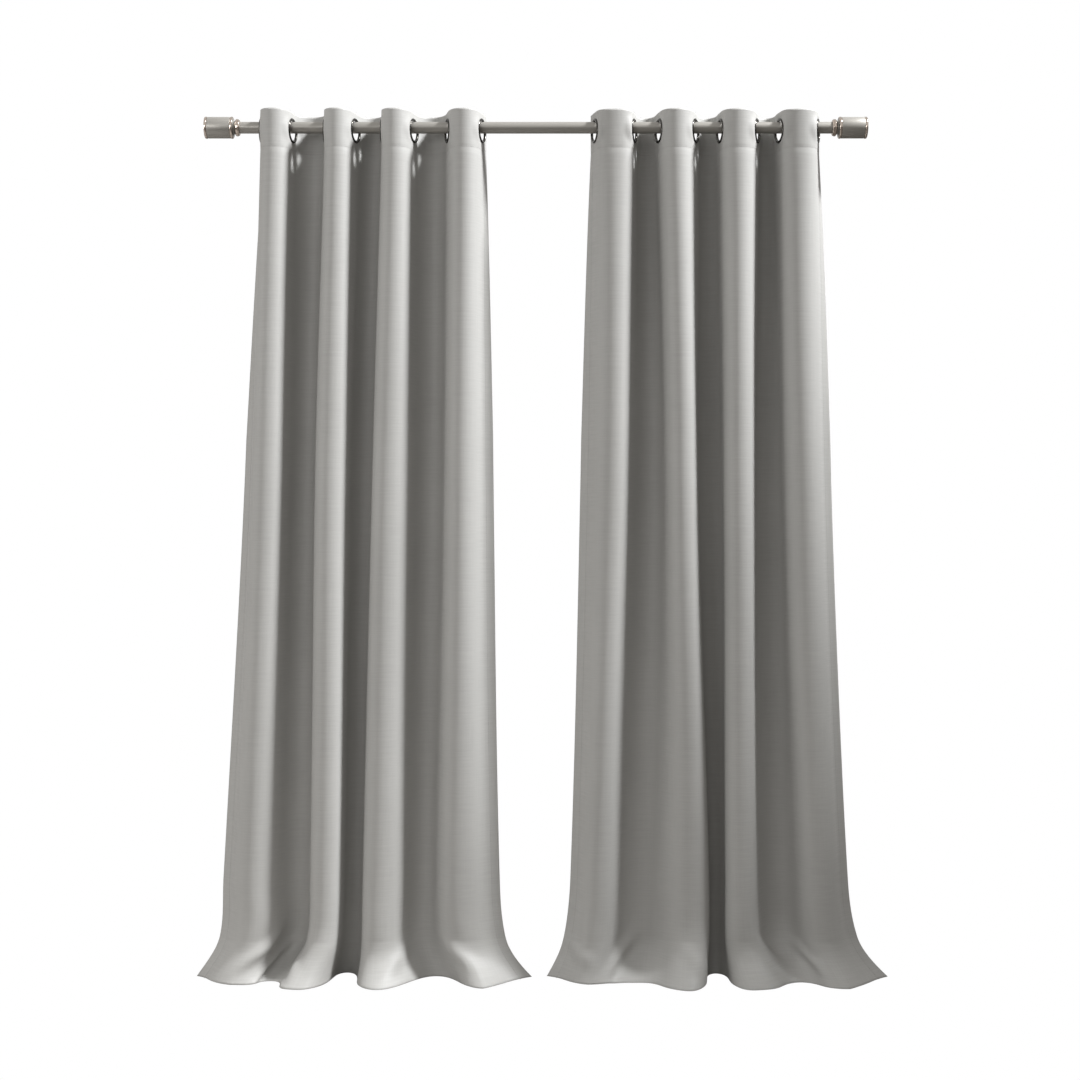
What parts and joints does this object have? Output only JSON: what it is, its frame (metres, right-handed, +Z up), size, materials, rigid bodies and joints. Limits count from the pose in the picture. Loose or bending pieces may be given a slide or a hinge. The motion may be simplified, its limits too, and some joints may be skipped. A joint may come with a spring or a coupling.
{
  "type": "window curtains on a rod",
  "caption": "Pair of grey pleated grommet-top curtain panels hung on a straight metal rod with drum finials and wall brackets; each panel draws along the rod.",
  "frame": {"origin": "on the wall's face, level with the rod's axis and midway along the rod", "axes": "+X along the rod to the right as seen from the room, +Y into the wall, +Z up"},
  "size_m": [1.661, 0.2092, 2.1288],
  "materials": {
    "curtain_cloth": "grey woven blackout cloth with a faint satin sheen",
    "brushed_pewter": "satin pewter-grey lacquer over steel",
    "polished_nickel": "polished nickel plating",
    "antique_nickel": "dark antique-nickel plating",
    "zinc_steel": "zinc-plated steel",
    "grey_plastic": "moulded dark grey plastic"
  },
  "bodies": {
    "root": {"rod_tube": "brushed_pewter", "left_rod_plug": "grey_plastic", "left_finial_stud": "zinc_steel", "left_finial_neck_ring": "polished_nickel", "left_finial_waist": "brushed_pewter", "left_finial_drum": "brushed_pewter", "left_finial_inner_band": "polished_nickel", "left_finial_outer_band": "polished_nickel", "left_bracket_plate": "brushed_pewter", "left_bracket_post": "brushed_pewter", "left_bracket_cup": "brushed_pewter", "left_bracket_screw": "brushed_pewter", "left_panel": "curtain_cloth", "right_rod_plug": "grey_plastic", "right_finial_stud": "zinc_steel", "right_finial_neck_ring": "polished_nickel", "right_finial_waist": "brushed_pewter", "right_finial_drum": "brushed_pewter", "right_finial_inner_band": "polished_nickel", "right_finial_outer_band": "polished_nickel", "right_bracket_plate": "brushed_pewter", "right_bracket_post": "brushed_pewter", "right_bracket_cup": "brushed_pewter", "right_bracket_screw": "brushed_pewter", "right_panel": "curtain_cloth"},
    "left_grommet_8": {"left_grommet_8_face": "antique_nickel", "left_grommet_8_backing": "antique_nickel"},
    "left_grommet_1": {"left_grommet_1_face": "antique_nickel", "left_grommet_1_backing": "antique_nickel"},
    "left_grommet_2": {"left_grommet_2_face": "antique_nickel", "left_grommet_2_backing": "antique_nickel"},
    "left_grommet_3": {"left_grommet_3_face": "antique_nickel", "left_grommet_3_backing": "antique_nickel"},
    "left_grommet_4": {"left_grommet_4_face": "antique_nickel", "left_grommet_4_backing": "antique_nickel"},
    "left_grommet_5": {"left_grommet_5_face": "antique_nickel", "left_grommet_5_backing": "antique_nickel"},
    "left_grommet_6": {"left_grommet_6_face": "antique_nickel", "left_grommet_6_backing": "antique_nickel"},
    "left_grommet_7": {"left_grommet_7_face": "antique_nickel", "left_grommet_7_backing": "antique_nickel"},
    "right_grommet_1": {"right_grommet_1_face": "antique_nickel", "right_grommet_1_backing": "antique_nickel"},
    "right_grommet_2": {"right_grommet_2_face": "antique_nickel", "right_grommet_2_backing": "antique_nickel"},
    "right_grommet_3": {"right_grommet_3_face": "antique_nickel", "right_grommet_3_backing": "antique_nickel"},
    "right_grommet_4": {"right_grommet_4_face": "antique_nickel", "right_grommet_4_backing": "antique_nickel"},
    "right_grommet_5": {"right_grommet_5_face": "antique_nickel", "right_grommet_5_backing": "antique_nickel"},
    "right_grommet_6": {"right_grommet_6_face": "antique_nickel", "right_grommet_6_backing": "antique_nickel"},
    "right_grommet_7": {"right_grommet_7_face": "antique_nickel", "right_grommet_7_backing": "antique_nickel"},
    "right_grommet_8": {"right_grommet_8_face": "antique_nickel", "right_grommet_8_backing": "antique_nickel"}
  },
  "joints": [
    {"name": "left_panel_draw", "type": "slide", "parent": "root", "child": "left_grommet_8", "axis": [-1, 0, 0], "range_m": [-0.11, 0.18], "deforming": ["left_panel"]},
    {"name": "left_grommet_1_slide", "type": "slide", "parent": "root", "child": "left_grommet_1", "axis": [-1, 0, 0], "range_m": [-0.0028, 0.0044]},
    {"name": "left_grommet_2_slide", "type": "slide", "parent": "root", "child": "left_grommet_2", "axis": [-1, 0, 0], "range_m": [-0.0136, 0.0221]},
    {"name": "left_grommet_3_slide", "type": "slide", "parent": "root", "child": "left_grommet_3", "axis": [-1, 0, 0], "range_m": [-0.0319, 0.052]},
    {"name": "left_grommet_4_slide", "type": "slide", "parent": "root", "child": "left_grommet_4", "axis": [-1, 0, 0], "range_m": [-0.0515, 0.0841]},
    {"name": "left_grommet_5_slide", "type": "slide", "parent": "root", "child": "left_grommet_5", "axis": [-1, 0, 0], "range_m": [-0.07, 0.1143]},
    {"name": "left_grommet_6_slide", "type": "slide", "parent": "root", "child": "left_grommet_6", "axis": [-1, 0, 0], "range_m": [-0.089, 0.1455]},
    {"name": "left_grommet_7_slide", "type": "slide", "parent": "root", "child": "left_grommet_7", "axis": [-1, 0, 0], "range_m": [-0.1044, 0.1707]},
    {"name": "right_panel_draw", "type": "slide", "parent": "root", "child": "right_grommet_1", "axis": [1, 0, 0], "range_m": [-0.11, 0.18], "deforming": ["right_panel"]},
    {"name": "right_grommet_2_slide", "type": "slide", "parent": "root", "child": "right_grommet_2", "axis": [1, 0, 0], "range_m": [-0.1028, 0.1681]},
    {"name": "right_grommet_3_slide", "type": "slide", "parent": "root", "child": "right_grommet_3", "axis": [1, 0, 0], "range_m": [-0.0916, 0.1497]},
    {"name": "right_grommet_4_slide", "type": "slide", "parent": "root", "child": "right_grommet_4", "axis": [1, 0, 0], "range_m": [-0.0702, 0.1146]},
    {"name": "right_grommet_5_slide", "type": "slide", "parent": "root", "child": "right_grommet_5", "axis": [1, 0, 0], "range_m": [-0.0533, 0.087]},
    {"name": "right_grommet_6_slide", "type": "slide", "parent": "root", "child": "right_grommet_6", "axis": [1, 0, 0], "range_m": [-0.0297, 0.0484]},
    {"name": "right_grommet_7_slide", "type": "slide", "parent": "root", "child": "right_grommet_7", "axis": [1, 0, 0], "range_m": [-0.0169, 0.0276]},
    {"name": "right_grommet_8_slide", "type": "slide", "parent": "root", "child": "right_grommet_8", "axis": [1, 0, 0], "range_m": [-0.0028, 0.0044]}
  ],
  "couplings": [
    {"joint": "left_grommet_1_slide", "follows": "left_panel_draw", "ratio": 0.0233},
    {"joint": "left_grommet_2_slide", "follows": "left_panel_draw", "ratio": 0.1212},
    {"joint": "left_grommet_3_slide", "follows": "left_panel_draw", "ratio": 0.2873},
    {"joint": "left_grommet_4_slide", "follows": "left_panel_draw", "ratio": 0.4657},
    {"joint": "left_grommet_5_slide", "follows": "left_panel_draw", "ratio": 0.6338},
    {"joint": "left_grommet_6_slide", "follows": "left_panel_draw", "ratio": 0.8067},
    {"joint": "left_grommet_7_slide", "follows": "left_panel_draw", "ratio": 0.9467},
    {"joint": "right_grommet_2_slide", "follows": "right_panel_draw", "ratio": 0.9326},
    {"joint": "right_grommet_3_slide", "follows": "right_panel_draw", "ratio": 0.8302},
    {"joint": "right_grommet_4_slide", "follows": "right_panel_draw", "ratio": 0.6355},
    {"joint": "right_grommet_5_slide", "follows": "right_panel_draw", "ratio": 0.4819},
    {"joint": "right_grommet_6_slide", "follows": "right_panel_draw", "ratio": 0.2675},
    {"joint": "right_grommet_7_slide", "follows": "right_panel_draw", "ratio": 0.1518},
    {"joint": "right_grommet_8_slide", "follows": "right_panel_draw", "ratio": 0.0233}
  ]
}
